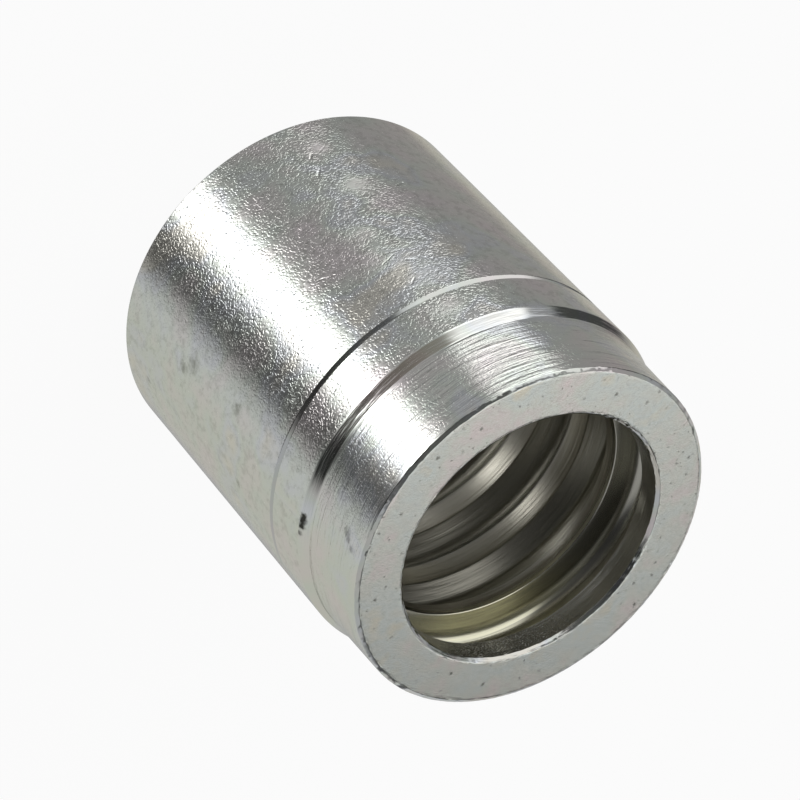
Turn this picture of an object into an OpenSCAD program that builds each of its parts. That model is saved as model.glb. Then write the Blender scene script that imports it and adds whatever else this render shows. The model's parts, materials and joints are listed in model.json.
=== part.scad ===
// Crimp ferrule for a hydraulic hose, turned from one piece of steel.
// The axis is Z. It stands on its hose end at Z = 0, with the nose up.

/* [Wall] */
// Bore across the ridge crests, which lets the hose slide in
ridge_d = 24.1; // [21:0.1:30]
// Height of each ridge above the root behind it
ridge_h = 1.25; // [0.8:0.05:2]
// Wall left between the ridge roots and the outside of the body
root_wall = 1.7; // [1.3:0.05:3]

/* [Outside] */
// Length of the full-diameter body, from the hose end to the shoulder
body_len = 27.9; // [24:0.1:45]
// Chamfer round the outer edge of the hose end
tail_edge = 0.2; // [0.1:0.05:0.6]
// Distance from the shoulder back to the middle of the marking groove
mark_setback = 4.05; // [1:0.05:8]
// Width of the marking groove at the surface
mark_w = 0.45; // [0.2:0.05:1]
// Depth of the marking groove
mark_depth = 0.35; // [0.1:0.05:0.8]

/* [Nose] */
// Length of the sloping shoulder between body and nose
shoulder_len = 0.9; // [0.4:0.05:2]
// Height of the step from the body down to the nose
shoulder_step = 0.45; // [0.2:0.05:0.8]
// Length of the nose, from the shoulder to the front face
nose_len = 6.5; // [5:0.1:12]
// Taper of the nose on each side, in degrees
nose_draft = 1.3; // [0:0.1:3]
// Width of the chamfer on the front edge, across the face
nose_chamfer_w = 0.3; // [0.1:0.05:0.8]
// Height of the chamfer on the front edge, along the axis
nose_chamfer_h = 0.16; // [0.05:0.01:0.8]

/* [Lip and collar] */
// Bore of the lip that closes on the hose stem
lip_d = 21; // [18:0.1:23]
// Length of the lip, from the front face to its rear edge
lip_len = 2.15; // [1.5:0.05:3]
// Chamfer at the mouth of the lip
mouth_chamfer = 0.25; // [0.1:0.05:0.6]
// Wall left outside the locking groove, at the front of the nose
lock_wall = 1.3; // [1:0.05:1.8]
// Mouth of the locking groove, from the lip to the collar
lock_w = 3.85; // [3:0.05:5]
// Bore of the collar that stops the hose
collar_d = 21.4; // [18:0.1:23]
// Width of the collar at its crest
collar_w = 1.3; // [0.8:0.05:2]
// Slope of the collar's two sides, in degrees off square
collar_slope = 13; // [0:1:20]

/* [Ridges] */
// Distance from the collar back to the first ridge's crest
ridge_setback = 4.45; // [3.5:0.05:6]
// Distance from one ridge to the next
ridge_pitch = 5.3; // [5.1:0.05:7]
// Width of each ridge at its crest
ridge_land = 2.1; // [1:0.05:2.3]
// Length along the axis of each sloping flank
ridge_flank = 1.3; // [0.8:0.05:1.4]
// Shortest plain stretch at the hose end, where the hose starts in
entry_len = 4; // [2:0.1:8]
// Chamfer at the mouth of the hose end
entry_chamfer = 0.5; // [0.2:0.05:0.8]

/* [Edges] */
// Fillet in the bottom corners of the grooves
root_fillet = 0.5; // [0.1:0.05:0.6]
// Rounding on the edges of the lip, the collar and the ridges
crest_round = 0.12; // [0.05:0.01:0.2]

/* [Hidden] */
turned_fn = 180;
corner_fn = 48;
zinc = [0.74, 0.75, 0.76];

// Radii, from the bore outwards
ridge_r = ridge_d / 2;
root_r = ridge_r + ridge_h;
body_r = root_r + root_wall;
nose_rear_r = body_r - shoulder_step;
nose_front_r = nose_rear_r - nose_len * tan(nose_draft);
lip_r = lip_d / 2;
lock_r = nose_front_r - lock_wall;
collar_r = collar_d / 2;

// Heights, from the hose end up to the front face
mark_z = body_len - mark_setback;
nose_z = body_len + shoulder_len;
face_z = nose_z + nose_len;

// Heights inside, from the front face back
lip_z = face_z - lip_len;
collar_z = lip_z - lock_w;
collar_rear_z = collar_z - collar_w;
first_ridge_z = collar_rear_z - ridge_setback;
ridge_foot = ridge_land + ridge_flank;
ridge_count = 1 + floor((first_ridge_z - ridge_foot - entry_len) / ridge_pitch);

// How far a collar side leans over between its crest and radius r
function lean(r) = (r - collar_r) * tan(collar_slope);

// One ridge, from its front foot to its rear foot
function ridge(z) = [
    [root_r, z + ridge_flank],
    [ridge_r, z],
    [ridge_r, z - ridge_land],
    [root_r, z - ridge_foot]
];

// The outside, from the hose end up to the front face
outside = [
    [body_r - tail_edge, 0],
    [body_r, tail_edge],
    [body_r, mark_z - mark_w / 2],
    [body_r - mark_depth, mark_z],
    [body_r, mark_z + mark_w / 2],
    [body_r, body_len],
    [nose_rear_r, nose_z],
    [nose_front_r, face_z - nose_chamfer_h],
    [nose_front_r - nose_chamfer_w, face_z]
];

// The lip's mouth, where the bore starts
mouth = [
    [lip_r + mouth_chamfer, face_z],
    [lip_r, face_z - mouth_chamfer]
];

// The grooved part of the bore, from the lip's rear edge down
grooves = concat(
    [
        [lip_r, lip_z],
        [lock_r, lip_z],
        [lock_r, collar_z + lean(lock_r)],
        [collar_r, collar_z],
        [collar_r, collar_rear_z],
        [root_r, collar_rear_z - lean(root_r)]
    ],
    [for (k = [0 : ridge_count - 1]) each ridge(first_ridge_z - k * ridge_pitch)]
);

// The mouth of the hose end
entry = [
    [root_r, entry_chamfer],
    [root_r + entry_chamfer, 0]
];

// The grooves' corners, each with the points before and after it
wall = concat(mouth, grooves, entry);
corners = [for (i = [2 : len(wall) - 3]) [wall[i - 1], wall[i], wall[i + 1]]];

function unit(v) = v / norm(v);
// Positive where the path goes round a crest, negative in a groove's corner
function turn(c) = cross(c[1] - c[0], c[2] - c[1]);

// The sliver between a sharp corner and an arc of radius r that touches both of its sides
module corner_sliver(c, r) {
    back = unit(c[0] - c[1]);
    ahead = unit(c[2] - c[1]);
    half = acos(back * ahead) / 2;
    centre = c[1] + unit(back + ahead) * r / sin(half);
    touch = r / tan(half);
    difference() {
        polygon([c[1], c[1] + back * touch, centre, c[1] + ahead * touch]);
        translate(centre)
            circle(r, $fn = corner_fn);
    }
}

// Half of the ferrule's section, on the +X side of the axis
module section() {
    difference() {
        union() {
            polygon(concat(outside, wall));
            for (c = corners)
                if (turn(c) < 0)
                    corner_sliver(c, root_fillet);
        }
        for (c = corners)
            if (turn(c) > 0)
                corner_sliver(c, crest_round);
    }
}

module ferrule() {
    color(zinc)
        rotate_extrude($fn = turned_fn)
            section();
}

ferrule();
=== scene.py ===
import json
import math

import bpy
from mathutils import Matrix, Vector


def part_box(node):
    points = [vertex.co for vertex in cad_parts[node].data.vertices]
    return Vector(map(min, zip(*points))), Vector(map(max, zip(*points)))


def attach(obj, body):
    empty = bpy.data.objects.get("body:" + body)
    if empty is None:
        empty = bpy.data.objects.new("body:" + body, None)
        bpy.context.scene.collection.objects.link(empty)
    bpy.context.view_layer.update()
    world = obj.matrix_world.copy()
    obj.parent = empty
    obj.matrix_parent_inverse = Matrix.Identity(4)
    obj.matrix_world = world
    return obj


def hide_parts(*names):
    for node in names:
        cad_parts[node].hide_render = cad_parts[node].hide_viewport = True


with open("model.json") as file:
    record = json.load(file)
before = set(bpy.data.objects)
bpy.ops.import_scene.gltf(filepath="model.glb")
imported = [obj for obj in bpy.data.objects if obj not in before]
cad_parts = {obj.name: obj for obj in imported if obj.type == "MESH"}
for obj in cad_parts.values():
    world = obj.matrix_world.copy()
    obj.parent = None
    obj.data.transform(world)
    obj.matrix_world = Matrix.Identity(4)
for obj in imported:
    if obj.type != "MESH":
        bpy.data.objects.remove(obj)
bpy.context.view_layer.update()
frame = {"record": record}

millimetre = 0.001
samePlace = 1e-7  # metres between points that count as one
mergeWithin = 1e-6
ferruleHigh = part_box("ferrule")[1]
bodyRadius = ferruleHigh.x
faceHeight = ferruleHigh.z
ferruleMiddle = Vector((0, 0, faceHeight / 2))


# Shader maths: a wire wraps one socket, and an expression on wires adds its Math nodes
class Wire:
    def __init__(self, tree, socket=None):
        self.tree = tree
        self.socket = socket

    def make(self, kind, settings=None, sockets=None, out=0):
        node = self.tree.nodes.new("ShaderNode" + kind)
        for name, value in (settings or {}).items():
            if name == "stops":
                fillRamp(node.color_ramp, value)
            else:
                setattr(node, name, value)
        for name, value in (sockets or {}).items():
            if isinstance(value, Wire):
                self.tree.links.new(value.socket, node.inputs[name])
            else:
                node.inputs[name].default_value = value
        return Wire(self.tree, node.outputs[out] if len(node.outputs) else None)

    def maths(self, operation, first, second):
        return self.make("Math", {"operation": operation}, {0: first, 1: second})

    def __add__(self, other):
        return self.maths("ADD", self, other)

    def __sub__(self, other):
        return self.maths("SUBTRACT", self, other)

    def __rsub__(self, other):
        return self.maths("SUBTRACT", other, self)

    def __mul__(self, other):
        return self.maths("MULTIPLY", self, other)

    __radd__ = __add__
    __rmul__ = __mul__


def grey(level):
    return (level, level, level, 1.0)


def fillRamp(ramp, stops):  # a stop is a place with a grey level or a colour
    while len(ramp.elements) < len(stops):
        ramp.elements.new(1.0)
    for element, (place, level) in zip(ramp.elements, stops):
        element.position = place
        element.color = (*level, 1.0) if isinstance(level, tuple) else grey(level)


def newMaterial(name):
    material = bpy.data.materials.new(name)
    material.use_nodes = True
    material.node_tree.nodes.clear()
    wire = Wire(material.node_tree)
    return material, wire, wire.make("TexCoord", out="Object")


def zincMetal(wire, colour, roughness, normal):
    shader = wire.make("BsdfPrincipled", None, {
        "Base Color": colour, "Metallic": 1.0, "Roughness": roughness, "Normal": normal})
    wire.make("OutputMaterial", None, {"Surface": shader})


def rise(value, start, end, low=0.0, high=1.0):  # smooth step from low to high
    sockets = {0: value, 1: start, 2: end, 3: low, 4: high}
    return value.make("MapRange", {"interpolation_type": "SMOOTHSTEP"}, sockets)


def across(value, span, low=0.0, high=1.0):  # smooth step over a span in millimetres
    return rise(value, span[0] * millimetre, span[1] * millimetre, low, high)


def mixColour(factor, first, second):  # 6, 7 and out 2 are the node's colour sockets
    sockets = {0: factor, 6: first, 7: second}
    return factor.make("Mix", {"data_type": "RGBA"}, sockets, out=2)


def vectorMath(operation, first, second, out=0):  # out 1 is the number of a distance or a dot product
    return first.make("VectorMath", {"operation": operation}, {0: first, 1: second}, out)


def grain(place, scale, detail=2.0, roughness=0.5):
    sockets = {"Vector": place, "Scale": scale, "Detail": detail, "Roughness": roughness}
    return place.make("TexNoise", None, sockets)


def tinted(place, f):  # slow drift through the finish's tints
    level = grain(place, f["tintScale"], f["tintDetail"])
    return place.make("ValToRGB", {"stops": f["tints"]}, {0: level})


def bump(height, depth, under=None):  # depth in millimetres
    sockets = {"Strength": 1.0, "Distance": depth * millimetre, "Height": height}
    if under:
        sockets["Normal"] = under
    return height.make("Bump", None, sockets)


def polar(phi, radius, z):
    return Vector((math.cos(math.radians(phi)) * radius, math.sin(math.radians(phi)) * radius, z))


def spots(place, radius, marks):  # soft round marks given as angle, height, size and strength
    total = 0.0
    for phi, z, size, strength in marks:
        away = vectorMath("DISTANCE", place, polar(phi, radius, z * millimetre), out=1)
        total = total + rise(away, 0.0, size * millimetre, strength, 0.0)
    return total


def wander(place, size, reach):  # place moved about by noise, so marks get uneven outlines
    sockets = {"Vector": place, "Scale": 1 / (size * millimetre), "Detail": 3.0}
    loose = place.make("TexNoise", None, sockets, out=1)
    centred = vectorMath("SUBTRACT", loose, (0.5, 0.5, 0.5))
    moved = place.make("VectorMath", {"operation": "SCALE"}, {0: centred, "Scale": reach * millimetre})
    return vectorMath("ADD", place, moved)


def deselectAll():
    bpy.ops.object.select_all(action="DESELECT")


# The turned ferrule, sizes in millimetres
ferruleShape = {
    "bodyLength": 27.9,
    "tailChamfer": 0.2,
    "markSetback": 4.05, "markWidth": 0.45, "markDepth": 0.35,
    "shoulderLength": 0.9, "shoulderStep": 0.45,
    "noseDraft": 1.3, "noseChamferWidth": 0.3, "noseChamferHeight": 0.16,
    "lipLength": 2.15, "mouthChamfer": 0.25,
    "lockWall": 1.3, "lockWidth": 3.85,
    "collarWidth": 1.3, "collarSlope": 13,
    "ridgeSetback": 4.45, "ridgePitch": 5.3, "ridgeLand": 2.1, "ridgeFlank": 1.3,
    "ridgeHeight": 1.25, "ridgeCount": 4, "entryChamfer": 0.5,
    "lockRound": 1.1, "rootRound": 0.29, "crestRound": 0.1, "heelRound": 0.3,
    "edgeRound": 0.05, "softRound": 0.1, "roundSteps": 3,
    "keepFlat": 0.14,  # between the rings that keep the walls flat beside the front edges
    "turnSteps": 400, "smoothAngle": 28, "flatWeight": 80,
}


def mountRadius(name):
    mount = next(m for m in frame["record"]["mounts"] if m["name"] == name)
    return mount["dims"]["r_mm"]


def ferruleProfile(s):  # corners of the half section: radius, height, reach of the rounding
    outerR, faceZ = bodyRadius / millimetre, faceHeight / millimetre
    lipR, collarR, ridgeR = (mountRadius(name) for name in ("stem_lip", "stem_collar", "hose_bore"))
    rootR = ridgeR + s["ridgeHeight"]
    markZ = s["bodyLength"] - s["markSetback"]
    noseZ = s["bodyLength"] + s["shoulderLength"]
    noseR = outerR - s["shoulderStep"]
    draft = math.tan(math.radians(s["noseDraft"]))
    frontR, frontZ = noseR - (faceZ - noseZ) * draft, faceZ - s["noseChamferHeight"]
    faceR = frontR - s["noseChamferWidth"]
    mouthR, mouthZ = lipR + s["mouthChamfer"], faceZ - s["mouthChamfer"]
    keep = s["keepFlat"]
    lockR = frontR - s["lockWall"]
    lean = math.tan(math.radians(s["collarSlope"]))
    lipZ = faceZ - s["lipLength"]
    collarZ = lipZ - s["lockWidth"]
    collarRear = collarZ - s["collarWidth"]
    rounds = ("edge", "soft", "crest", "heel", "root", "lock")
    edge, soft, crest, heel, root, lock = (s[name + "Round"] for name in rounds)
    corners = [
        (outerR - s["tailChamfer"], 0, edge),
        (outerR, s["tailChamfer"], edge),
        (outerR, markZ - s["markWidth"] / 2, edge),
        (outerR - s["markDepth"], markZ, edge),
        (outerR, markZ + s["markWidth"] / 2, edge),
        (outerR, s["bodyLength"], soft),
        (noseR, noseZ, soft),
        (frontR + 2 * keep * draft, frontZ - 2 * keep, 0),
        (frontR + keep * draft, frontZ - keep, 0),
        (frontR, frontZ, edge),
        (faceR, faceZ, edge),
        (faceR - keep, faceZ, 0),
        (faceR - 2 * keep, faceZ, 0),
        (mouthR + 2 * keep, faceZ, 0),
        (mouthR + keep, faceZ, 0),
        (mouthR, faceZ, edge),
        (lipR, mouthZ, edge),
        (lipR, mouthZ - keep, 0),
        (lipR, mouthZ - 2 * keep, 0),
        (lipR, lipZ, crest),
        (lockR, lipZ, root),
        (lockR, collarZ + lean * (lockR - collarR), lock),
        (collarR, collarZ, crest),
        (collarR, collarRear, crest),
        (rootR, collarRear - lean * (rootR - collarR), root),
    ]
    for ridge in range(s["ridgeCount"]):
        z = collarRear - s["ridgeSetback"] - ridge * s["ridgePitch"]
        corners += [
            (rootR, z + s["ridgeFlank"], root),
            (ridgeR, z, crest),
            (ridgeR, z - s["ridgeLand"], heel),
            (rootR, z - s["ridgeLand"] - s["ridgeFlank"], root),
        ]
    corners += [
        (rootR, s["entryChamfer"], edge),
        (rootR + s["entryChamfer"], 0, edge),
    ]
    return [(r * millimetre, z * millimetre, reach * millimetre) for r, z, reach in corners]


def selectPoints(piece, chosen):  # leaves the piece in edit mode with those points selected
    bpy.ops.object.mode_set(mode="EDIT")
    bpy.ops.mesh.select_mode(type="VERT")
    bpy.ops.mesh.select_all(action="DESELECT")
    bpy.ops.object.mode_set(mode="OBJECT")
    for vertex in piece.data.vertices:
        vertex.select = chosen(vertex.co)
    bpy.ops.object.mode_set(mode="EDIT")


def selectAt(piece, places):
    selectPoints(piece, lambda co: any((co - place).length < samePlace for place in places))


# Wear on the edges, in millimetres: burrs along the front edges and one nick at the shoulder
edgeWear = {
    "burr": 0.019, "near": 0.09, "seed": 4, "fromFace": 0.3,
    "nick": {"phi": -42, "depth": 0.12, "reach": 0.45},
}


def wearEdges(ferrule, s, corners, w):
    lowest = faceHeight - w["fromFace"] * millimetre
    rings = [(r, z) for r, z, reach in corners if reach and z > lowest]
    near = w["near"] * millimetre

    def onRing(co):
        radius = math.hypot(co.x, co.y)
        return any(math.hypot(radius - r, co.z - z) < near for r, z in rings)

    selectPoints(ferrule, onRing)
    burr = w["burr"] * millimetre
    bpy.ops.transform.vertex_random(offset=burr, uniform=0.0, normal=0.0, seed=w["seed"])
    bpy.ops.object.mode_set(mode="OBJECT")
    for vertex in ferrule.data.vertices:
        vertex.co.z = min(vertex.co.z, faceHeight)  # no burr stands above the face
    n = w["nick"]
    shoulder = polar(n["phi"], bodyRadius, s["bodyLength"] * millimetre)
    nearest = min(ferrule.data.vertices, key=lambda vertex: (vertex.co - shoulder).length).index
    selectAt(ferrule, [ferrule.data.vertices[nearest].co.copy()])
    inwards = polar(n["phi"], -n["depth"] * millimetre, 0)
    bpy.ops.transform.translate(
        value=inwards, use_proportional_edit=True, proportional_edit_falloff="SMOOTH",
        proportional_size=n["reach"] * millimetre)


def onSection(corner):
    return Vector((corner[0], 0, corner[1]))


def turnFerrule(s):
    corners = ferruleProfile(s)
    deselectAll()
    bpy.ops.mesh.primitive_plane_add(size=millimetre)
    ferrule = bpy.context.object
    ferrule.name = "ferruleTurned"
    bpy.ops.object.mode_set(mode="EDIT")
    bpy.ops.mesh.merge(type="CENTER")
    bpy.ops.transform.translate(value=(corners[0][0], 0, corners[0][1]))
    for before, after in zip(corners, corners[1:]):
        step = (after[0] - before[0], 0, after[1] - before[1])
        bpy.ops.mesh.extrude_vertices_move(TRANSFORM_OT_translate={"value": step})
    selectAt(ferrule, [onSection(corners[0]), onSection(corners[-1])])
    bpy.ops.mesh.edge_face_add()
    for reach in sorted({corner[2] for corner in corners} - {0}):
        selectAt(ferrule, [onSection(corner) for corner in corners if corner[2] == reach])
        bpy.ops.mesh.bevel(
            offset_type="ABSOLUTE", offset=reach, segments=s["roundSteps"], affect="VERTICES")
    bpy.ops.mesh.select_all(action="SELECT")
    bpy.ops.mesh.spin(steps=s["turnSteps"], angle=math.tau, center=(0, 0, 0), axis=(0, 0, 1))
    bpy.ops.mesh.select_all(action="SELECT")
    bpy.ops.mesh.remove_doubles(threshold=mergeWithin)
    bpy.ops.mesh.normals_make_consistent(inside=False)
    wearEdges(ferrule, s, corners, edgeWear)
    bpy.ops.object.mode_set(mode="OBJECT")
    bpy.ops.object.shade_smooth_by_angle(angle=math.radians(s["smoothAngle"]))
    # Keeps the long walls' shading straight
    even = ferrule.modifiers.new("evenShading", "WEIGHTED_NORMAL")
    even.weight = s["flatWeight"]
    even.keep_sharp = True
    bpy.ops.object.modifier_apply(modifier=even.name)
    print("ferrule turned:", len(ferrule.data.vertices), "points")
    return ferrule


# Tumbled zinc on the body and the hose end: small dents, hazy patches, faint tints and smudges.
# Marks are angle, height, size and strength, scratches angle and height twice and a width,
# calm sides an angle with where the calm is full and where it ends, wanders a size and a reach.
bodyFinish = {
    "roughness": 0.12, "hazeRoughness": 0.36,
    "wrinkle": {"size": 0.4, "width": 0.12, "breaks": 2.2, "broken": (0.42, 0.56)},
    "wrinkleDepth": 0.008,
    "dent": {"size": 0.33, "longer": 1.25, "turn": (0.3, math.radians(50), 0.2), "edge": (0.06, 0.4)},
    "dentDepth": 0.0085, "pressedWander": (0.6, 0.3),
    "calm": 0.55, "calmSides": [(-150, 14, 24), (-28, 24, 40)],
    "scratches": [(-133, 10.5, -135.5, 10.2, 0.14), (-115, 18.2, -111, 18.7, 0.1),
                  (-118, 18.0, -113, 17.7, 0.08), (-99, 17.0, -94, 16.4, 0.09),
                  (-117, 6.2, -115.5, 6.8, 0.2), (-118.5, 4.2, -117.5, 4.6, 0.2),
                  (-115, 21.4, -113.5, 21.9, 0.16), (-119, 19.6, -117, 19.2, 0.16)],
    "scratchDepth": 0.026, "scratchWander": (1.0, 0.4),
    "hazes": [(-122, 9.3, 1.9, 0.9), (-122, 3.6, 1.6, 0.8), (-116, 25.8, 1.7, 0.7),
              (-113, 14.6, 2.0, 0.5), (-113, 18.8, 3.6, 0.5), (-118, 21.6, 2.8, 0.45)],
    "hazeWander": (0.8, 1.0),
    "smudges": [(-50, 10.5, 1.1, 0.75), (-46, 9.3, 0.8, 0.7), (-51, 17.2, 0.8, 0.7),
                (-30, 18.6, 0.5, 0.65), (-28, 3.8, 0.5, 0.6), (-62, 2.0, 2.0, 0.2)],
    "smudge": (0.3, 0.31, 0.27, 1.0), "smudgeWander": (0.4, 1.2),
    "mottle": 0.3, "mottleScale": 1500, "mottleRoughness": 0.7, "mottleFrom": (0.45, 0.68),
    "tints": [(0.32, (0.82, 0.77, 0.77)), (0.43, (0.79, 0.785, 0.75)), (0.5, (0.755, 0.795, 0.74)),
              (0.57, (0.755, 0.78, 0.80)), (0.67, (0.815, 0.795, 0.725))],
    "tintScale": 190, "tintDetail": 2.0,
}


def dents(place, d):  # strokes pressed in by the tumbling, longer one way
    cell = d["size"] * millimetre
    turned = place.make("Mapping", {"vector_type": "TEXTURE"}, {
        "Vector": place, "Rotation": d["turn"], "Scale": (cell * d["longer"], cell, cell)})
    away = place.make("TexVoronoi", None, {"Vector": turned, "Scale": 1.0})
    return rise(away, *d["edge"])


def wrinkles(place, w):  # short winding strokes, 0 in the stroke and 1 on the flat between
    cell = w["size"] * millimetre
    level = grain(place, 1 / cell, 1.0) - 0.5
    broken = rise(grain(place, w["breaks"] / cell, 0.0), *w["broken"])
    return 1 - rise(level * level, 0.0, w["width"] * w["width"], 1.0, 0.0) * broken


def scratches(place, radius, strokes):  # straight strokes between two points
    total = 0.0
    for phi0, z0, phi1, z1, width in strokes:
        start = polar(phi0, radius, z0 * millimetre)
        run = polar(phi1, radius, z1 * millimetre) - start
        past = vectorMath("SUBTRACT", place, start)
        share = vectorMath("DOT_PRODUCT", past, run / run.length_squared, out=1)
        share = share.make("Clamp", None, {0: share})
        along = place.make("VectorMath", {"operation": "SCALE"}, {0: run, "Scale": share})
        away = vectorMath("DISTANCE", past, along, out=1)
        total = total + rise(away, 0.0, width * millimetre, 1.0, 0.0)
    return total


def bodyMaterial(f):
    material, wire, place = newMaterial("tumbledZinc")
    calm = 0.0
    for phi, full, none in f["calmSides"]:
        towards = vectorMath("DOT_PRODUCT", place, polar(phi, 1.0, 0.0), out=1)
        reach = (bodyRadius * math.cos(math.radians(angle)) for angle in (none, full))
        calm = calm + rise(towards, *reach)
    keep = 1 - calm * f["calm"]
    loose = wander(place, *f["pressedWander"])
    normal = bump(wrinkles(loose, f["wrinkle"]) * keep, f["wrinkleDepth"])
    normal = bump(dents(loose, f["dent"]) * keep, f["dentDepth"], normal)
    cut = scratches(wander(place, *f["scratchWander"]), bodyRadius, f["scratches"])
    normal = bump(1 - cut, f["scratchDepth"], normal)
    haze = spots(wander(place, *f["hazeWander"]), bodyRadius, f["hazes"])
    smudge = spots(wander(place, *f["smudgeWander"]), bodyRadius, f["smudges"])
    specks = grain(place, f["mottleScale"], 4.0, f["mottleRoughness"])
    mottle = rise(specks, *f["mottleFrom"], 0.0, f["mottle"])
    colour = mixColour(smudge + mottle, tinted(place, f), f["smudge"])
    roughness = f["roughness"] + haze * (f["hazeRoughness"] - f["roughness"])
    zincMetal(wire, colour, roughness, normal)
    return material


# Turned nose and shoulder: fine marks round the axis and a few dark spots.
# Around is how fast the marks change round the axis, radius a share of the body's.
noseFinish = {
    "roughness": 0.11,
    "markPitch": 0.24, "markDepth": 0.05, "markAround": 240,
    "bandPitch": 0.5, "bandDepth": 0.08, "bandAround": 130, "shoulderMarks": 0.45,
    "wrinkleDepth": 0.004, "wrinklesFrom": 28.9, "wrinklesTo": 34.9, "blend": 0.2,
    "wrinkleWander": (0.5, 0.3),
    "smudges": [(-50.5, 33.0, 0.6, 0.5), (-49, 33.3, 0.4, 0.5), (-47.5, 33.9, 0.5, 0.45),
                (-51.5, 32.6, 0.3, 0.4)],
    "smudgeRadius": 0.963, "smudgeWander": (0.25, 0.7),
    "nicks": [(-43.5, 28.12, 0.4, 1.2), (-42, 28.1, 0.5, 1.3), (-40, 28.08, 0.45, 1.2),
              (-37.5, 28.0, 0.35, 0.9)],
    "nickRadius": 0.993, "nickWander": (0.25, 0.4),
    "smudge": (0.05, 0.05, 0.045, 1.0),
}


def axial(place):  # distance from the axis, and height
    x, y, z = (place.make("SeparateXYZ", None, {0: place}, out=axis) for axis in range(3))
    flat = place.make("CombineXYZ", None, {0: x, 1: y})
    return place.make("VectorMath", {"operation": "LENGTH"}, {0: flat}, out=1), z


def turnedLines(place, pitch, around):  # noise drawn out round the axis, fine along the wall and its steps
    radius, z = axial(place)
    along = place.make("CombineXYZ", None, {2: (radius + z * 2) * (0.5 / (pitch * millimetre))})
    sockets = {0: place, 1: (around, around, 0.0), 2: along}
    return grain(place.make("VectorMath", {"operation": "MULTIPLY_ADD"}, sockets), 1.0, 3.0, 0.6)


def noseMaterial(f):
    material, wire, place = newMaterial("turnedNose")
    z = axial(place)[1]
    start, end, blend = (f[name] * millimetre for name in ("wrinklesFrom", "wrinklesTo", "blend"))
    cut = rise(z, start - blend, start, f["shoulderMarks"], 1.0)
    normal = bump(turnedLines(place, f["bandPitch"], f["bandAround"]) * cut, f["bandDepth"])
    normal = bump(turnedLines(place, f["markPitch"], f["markAround"]) * cut, f["markDepth"], normal)
    pressed = wrinkles(wander(place, *f["wrinkleWander"]), bodyFinish["wrinkle"])
    plain = rise(z, start, start + blend) * rise(z, end - blend, end, 1.0, 0.0)
    normal = bump(pressed * plain, f["wrinkleDepth"], normal)
    smudge = spots(wander(place, *f["smudgeWander"]), bodyRadius * f["smudgeRadius"], f["smudges"])
    smudge = smudge + spots(wander(place, *f["nickWander"]), bodyRadius * f["nickRadius"], f["nicks"])
    colour = mixColour(smudge, tinted(place, bodyFinish), f["smudge"])
    zincMetal(wire, colour, f["roughness"], normal)
    return material


# Satin front face with small pits
faceFinish = {
    "roughness": 0.26, "grainSize": 0.12, "grainDepth": 0.006,
    "mottle": 0.13, "mottleSize": 0.22, "mottleRoughness": 0.65, "mottleFrom": (0.4, 0.72),
    "pitSizes": (1.1, 0.5), "pitEdge": (0.03, 0.2), "pitStrength": 0.9, "pitChance": (0.35, 0.75),
    "pit": (0.26, 0.26, 0.23, 1.0), "pitWander": (0.25, 0.25),
    "tints": [(0.3, (0.85, 0.775, 0.745)), (0.45, (0.79, 0.80, 0.735)), (0.58, (0.765, 0.805, 0.765)),
              (0.72, (0.83, 0.80, 0.68))],
    "tintScale": 300, "tintDetail": 3.0,
}


def faceMaterial(f):
    material, wire, place = newMaterial("satinFace")
    normal = bump(grain(place, 1 / (f["grainSize"] * millimetre), 3.0, 0.6), f["grainDepth"])
    loose = wander(place, *f["pitWander"])
    pits = 0.0
    for size in f["pitSizes"]:
        cells = {"Vector": loose, "Scale": 1 / (size * millimetre)}
        away = wire.make("TexVoronoi", None, cells)
        chance = wire.make("SeparateXYZ", None, {0: wire.make("TexVoronoi", None, cells, out=1)})
        pit = rise(away, *f["pitEdge"], f["pitStrength"], 0.0)
        pits = pits + pit * rise(chance, *f["pitChance"])
    specks = grain(place, 1 / (f["mottleSize"] * millimetre), 4.0, f["mottleRoughness"])
    mottle = rise(specks, *f["mottleFrom"], 0.0, f["mottle"])
    colour = mixColour(pits + mottle, tinted(place, f), f["pit"])
    zincMetal(wire, colour, f["roughness"], normal)
    return material


# Bore zinc: dull down the ridges, brighter at the collar with one painted gold reflection, specks on the
# lip.
# Spans are in millimetres: a radius for the roots, heights for the rest.
boreFinish = {
    # root is painted shade in the ridge roots, and also the colour of the dark turning lines
    "deep": (0.41, 0.395, 0.34, 1.0), "root": (0.37, 0.36, 0.305, 1.0),
    "front": (0.6, 0.59, 0.53, 1.0), "lip": (0.58, 0.58, 0.54, 1.0),
    # Painted reflection: the spot list below lays one bright gold patch on the collar and lock groove
    "gold": (0.93, 0.905, 0.70, 1.0), "stain": [(60, 31.0, 9.0, 1.7)],
    "rootSpan": (12.6, 13.2), "frontSpan": (28.6, 29.2), "lipSpan": (33.0, 33.2),
    "roughness": 0.31, "frontRoughness": 0.2, "rootRoughness": 0.52, "dullSpan": (21.5, 22.5),
    "linePitch": 0.3, "lineAround": 60, "lineFrom": (0.45, 0.7), "lines": 0.7,
    "markPitch": 0.28, "markDepth": 0.036, "markAround": 140, "frontMarks": 0.033,
    "bandPitch": 0.45, "bandDepth": 0.008, "bandAround": 80,
    "speckSize": 0.13, "speckDepth": 0.03, "speckFrom": (0.55, 0.7), "specks": [(46, 34.2, 8.5, 1.6)],
}


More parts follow.
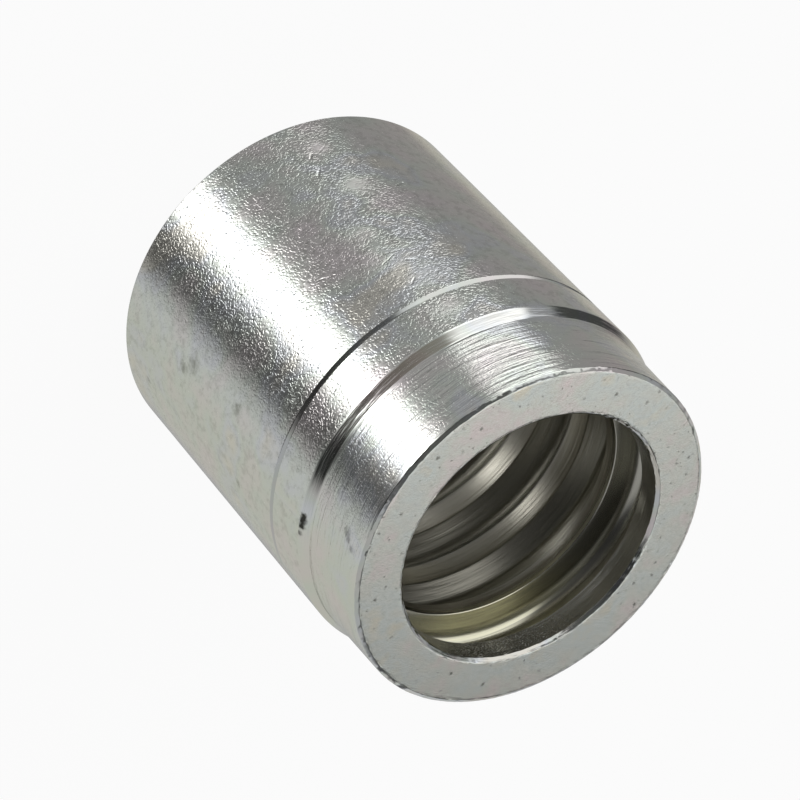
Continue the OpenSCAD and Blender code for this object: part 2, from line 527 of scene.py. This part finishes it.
def boreMaterial(f):
    material, wire, place = newMaterial("boreZinc")
    radius, z = axial(place)
    onLip = across(z, f["lipSpan"])
    atFront = across(z, f["frontSpan"])
    inRoot = across(radius, f["rootSpan"])
    normal = bump(turnedLines(place, f["bandPitch"], f["bandAround"]), f["bandDepth"])
    marks = turnedLines(place, f["markPitch"], f["markAround"])
    marks = marks * (1 - (atFront - onLip) * (1 - f["frontMarks"]))
    normal = bump(marks, f["markDepth"], normal)
    specks = rise(grain(place, 1 / (f["speckSize"] * millimetre), 0.0), *f["speckFrom"]) * onLip
    specks = specks * spots(place, mountRadius("stem_lip") * millimetre, f["specks"])
    normal = bump(specks, f["speckDepth"], normal)
    # Painted reflection: a bright gold patch mixed into the collar's colour
    stain = spots(place, mountRadius("hose_bore") * millimetre, f["stain"])
    # Painted shade: the roots between the ridges take the darker root colour
    ridges = mixColour(inRoot, f["deep"], f["root"])
    colour = mixColour(atFront, ridges, mixColour(stain, f["front"], f["gold"]))
    lines = turnedLines(place, f["linePitch"], f["lineAround"])
    dull = rise(lines, *f["lineFrom"], 0.0, f["lines"]) * (1 - onLip)
    colour = mixColour(dull, mixColour(onLip, colour, f["lip"]), f["root"])
    between = inRoot * across(z, f["dullSpan"], 1.0, 0.0)
    roughness = f["roughness"] + atFront * (f["frontRoughness"] - f["roughness"])
    roughness = roughness + between * (f["rootRoughness"] - f["roughness"])
    zincMetal(wire, colour, roughness, normal)
    return material


# Margins between the finishes in millimetres, but outside is a share of the body's radius
# and facingUp a share of the normal
finishEdges = {
    "outside": 0.9, "facingUp": 0.97,
    "step": 0.02, "inMark": 0.03, "markFrom": 1, "mouth": 0.05, "tail": 0.05,
}
bodyZone, noseZone, faceZone, boreZone = range(4)  # in the order of the materials


def zone(polygon, s, e):  # which finish a face of the ferrule takes
    x, y, z = (value / millimetre for value in polygon.center)
    radius = math.hypot(x, y)
    outerR, faceZ = bodyRadius / millimetre, faceHeight / millimetre
    outwards = polygon.normal.x * x + polygon.normal.y * y > 0
    if z > faceZ - e["step"] and polygon.normal.z > e["facingUp"]:
        return faceZone
    if outwards and radius > e["outside"] * outerR:
        inMark = radius < outerR - e["inMark"] and e["markFrom"] < z < s["bodyLength"]
        return noseZone if inMark or z > s["bodyLength"] - e["step"] else bodyZone
    if z > faceZ - s["mouthChamfer"] - e["mouth"]:
        return noseZone
    return bodyZone if z < e["tail"] else boreZone


ferrule = turnFerrule(ferruleShape)
ferrule.data.materials.append(bodyMaterial(bodyFinish))
ferrule.data.materials.append(noseMaterial(noseFinish))
ferrule.data.materials.append(faceMaterial(faceFinish))
ferrule.data.materials.append(boreMaterial(boreFinish))
for polygon in ferrule.data.polygons:
    polygon.material_index = zone(polygon, ferruleShape, finishEdges)
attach(ferrule, "root")
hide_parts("ferrule")
print("ferrule finished")


# Pale floor: white to the camera, plain under and inside the ferrule
floorLook = {"size": 4.0, "colour": (0.9, 0.9, 0.9, 1.0), "lift": 0.94, "plainWithin": 0.9}


def layFloor(f):
    deselectAll()
    bpy.ops.mesh.primitive_plane_add(size=f["size"])
    floor = bpy.context.object
    floor.name = "floor"
    material, wire, place = newMaterial("paleFloor")
    seen = wire.make("LightPath", out="Is Camera Ray")
    for ray in ("Is Glossy Ray", "Is Transmission Ray"):
        seen = seen + wire.make("LightPath", out=ray)
    away = wire.make("VectorMath", {"operation": "LENGTH"}, {0: place}, out=1)
    lifted = seen * rise(away, bodyRadius * f["plainWithin"], bodyRadius, 0.0, f["lift"])
    matte = wire.make("BsdfDiffuse", None, {"Color": f["colour"]})
    white = wire.make("Emission", None, {"Color": grey(1.0), "Strength": 1.0})
    surface = wire.make("MixShader", None, {0: lifted, 1: matte, 2: white})
    wire.make("OutputMaterial", None, {"Surface": surface})
    floor.data.materials.append(material)
    # Takes the floor out of the metal's mirror, which shows the world's ground instead
    floor.visible_glossy = False


# What the metal mirrors: ground, walls and upper walls as azimuth and level, cards on the ground,
# two round lights and a dark ceiling. Angles are in degrees.
studioRound = {
    "ground": [(-180, 0.28), (-160, 0.31), (-130, 0.31), (-104, 0.285), (-98, 0.34), (-93, 0.57),
               (-89, 0.98), (-85, 2.0), (-81, 3.4), (-71, 3.4), (-66, 2.0), (-62, 1.0), (-58, 0.5),
               (-53, 0.18), (-47, 0.1), (-35, 0.1), (-25, 0.42), (-14, 0.57), (10, (0.55, 0.55, 0.51)),
               (60, (0.51, 0.51, 0.465)), (72, 0.43), (84, 0.38), (92, 0.46),
               (118, (0.5, 0.48, 0.42)), (130, (0.31, 0.3, 0.29)), (180, 0.28)],
    "walls": [(-180, 1.0), (-132, 1.0), (-124, (0.25, 0.23, 0.21)), (-100, (0.17, 0.155, 0.14)),
              (-62, (0.1, 0.095, 0.09)), (-54, 0.02), (-32, 0.02), (-22, 0.45), (40, 0.5), (60, 0.56),
              (120, 0.56), (138, 0.25), (146, 0.05), (170, 0.05), (177, 1.0), (180, 1.0)],
    "cards": [{"left": -168, "right": -126, "low": -41.8, "high": -40.8, "level": 1.4},
              {"left": -126, "right": -100, "low": -41.8, "high": -40.8, "level": 0.37},
              {"left": 132, "right": 176, "low": -28, "high": -21, "level": 0.06}],
    "cardEdge": 3,
    "upper": [(-180, 0.1), (-100, 0.08), (-54, 0.03), (-34, 0.04), (-20, 0.42), (34, 0.44), (54, 0.08),
              (116, 0.08), (130, 0.34), (156, 0.34), (172, 0.08), (180, 0.08)],
    "upperFrom": (12, 24),
    "lamp": {"azimuth": 200, "elevation": 32, "reach": (26, 38), "level": 0.88},
    "panel": {"azimuth": 106, "elevation": 54.5, "reach": (15.6, 20), "level": 0.98},
    "below": (-57, -50), "belowLevel": 0.2,
    "horizon": (-9, 2), "ceiling": (64, 74), "ceilingLevel": 0.1,
}


def height(degrees):
    return math.sin(math.radians(degrees))


def direction(azimuth, elevation):
    return polar(azimuth, math.cos(math.radians(elevation)), height(elevation))


def fillWorld(s):
    world = bpy.data.worlds.new("studio")
    bpy.context.scene.world = world
    world.use_nodes = True
    world.node_tree.nodes.clear()
    world.cycles.sampling_method = "NONE"
    wire = Wire(world.node_tree)
    towards = wire.make("TexCoord", out="Generated")
    x, y, z = (wire.make("SeparateXYZ", None, {0: towards}, out=axis) for axis in range(3))
    turn = wire.make("Math", {"operation": "ARCTAN2"}, {0: y, 1: x}) * (180 / math.pi)
    around = {}
    for name in ("ground", "walls", "upper"):
        stops = [((angle + 180) / 360, level) for angle, level in s[name]]
        around[name] = wire.make("ValToRGB", {"stops": stops}, {0: (turn + 180) * (1 / 360)})
    ground = mixColour(rise(z, *map(height, s["below"])), grey(s["belowLevel"]), around["ground"])
    edge = s["cardEdge"]
    for card in s["cards"]:
        left, right = card["left"], card["right"]
        shown = rise(turn, left - edge, left + edge) * rise(turn, right - edge, right + edge, 1.0, 0.0)
        shown = shown * rise(z, height(card["low"]), height(card["high"]))
        ground = mixColour(shown, ground, grey(card["level"]))
    walls = mixColour(rise(z, *map(height, s["upperFrom"])), around["walls"], around["upper"])
    for disc in (s["lamp"], s["panel"]):
        centre = direction(disc["azimuth"], disc["elevation"])
        facing = vectorMath("DOT_PRODUCT", towards, centre, out=1)
        full, none = (math.cos(math.radians(angle)) for angle in disc["reach"])
        walls = mixColour(rise(facing, none, full), walls, grey(disc["level"]))
    colour = mixColour(rise(z, *map(height, s["horizon"])), ground, walls)
    colour = mixColour(rise(z, *map(height, s["ceiling"])), colour, grey(s["ceilingLevel"]))
    background = wire.make("Background", None, {"Color": colour, "Strength": 1.0})
    wire.make("OutputWorld", None, {"Surface": background})


# Lamps by azimuth and elevation from the ferrule, sizes in metres
softBoxes = {
    "leftBox": {"azimuth": 195, "elevation": 30, "distance": 0.36, "size": (0.34, 0.36), "level": 0.5},
    "backBox": {"azimuth": 60, "elevation": 60, "distance": 0.4, "size": (0.3, 0.3), "level": 0.3},
}


def hangSoftBoxes(boxes):
    for name, box in boxes.items():
        out = direction(box["azimuth"], box["elevation"])
        deselectAll()
        bpy.ops.object.light_add(type="AREA", location=ferruleMiddle + out * box["distance"])
        lamp = bpy.context.object
        lamp.name = name
        lamp.rotation_euler = out.to_track_quat("Z", "Y").to_euler()
        lamp.data.shape = "RECTANGLE"
        lamp.data.size, lamp.data.size_y = box["size"]
        lamp.data.energy = box["level"] * math.pi * box["size"][0] * box["size"][1]
        lamp.visible_camera = False
        lamp.visible_glossy = False


# Camera solved from the photograph: distance in body radii, focal length and offset in pixels
cameraShape = {
    "elevation": 43.43, "roll": 137.58, "distance": 18.456, "focal": 3717.0,
    "offset": (10.61, 6.5), "frame": 800, "sensor": 36, "nearest": 0.01,
}


def setCamera(c):
    elevation, roll = math.radians(c["elevation"]), math.radians(c["roll"])
    back = Vector((0, -math.cos(elevation), math.sin(elevation)))
    right = Vector((1, 0, 0))
    up = back.cross(right)
    imageRight = right * math.cos(roll) + up * math.sin(roll)
    imageUp = up * math.cos(roll) - right * math.sin(roll)
    distance = c["distance"] * bodyRadius
    pixel = distance / c["focal"]
    aim = ferruleMiddle - imageRight * c["offset"][0] * pixel
    aim = aim + imageUp * c["offset"][1] * pixel
    deselectAll()
    bpy.ops.object.camera_add()
    camera = bpy.context.object
    turn = Matrix((imageRight, imageUp, back)).transposed().to_4x4()
    camera.matrix_world = Matrix.Translation(aim + back * distance) @ turn
    camera.data.sensor_width = c["sensor"]
    camera.data.lens = c["sensor"] * c["focal"] / c["frame"]
    camera.data.clip_start = c["nearest"]
    bpy.context.scene.camera = camera


layFloor(floorLook)
hangSoftBoxes(softBoxes)
fillWorld(studioRound)
setCamera(cameraShape)
bpy.context.scene.view_settings.view_transform = "Standard"
print("studio set")
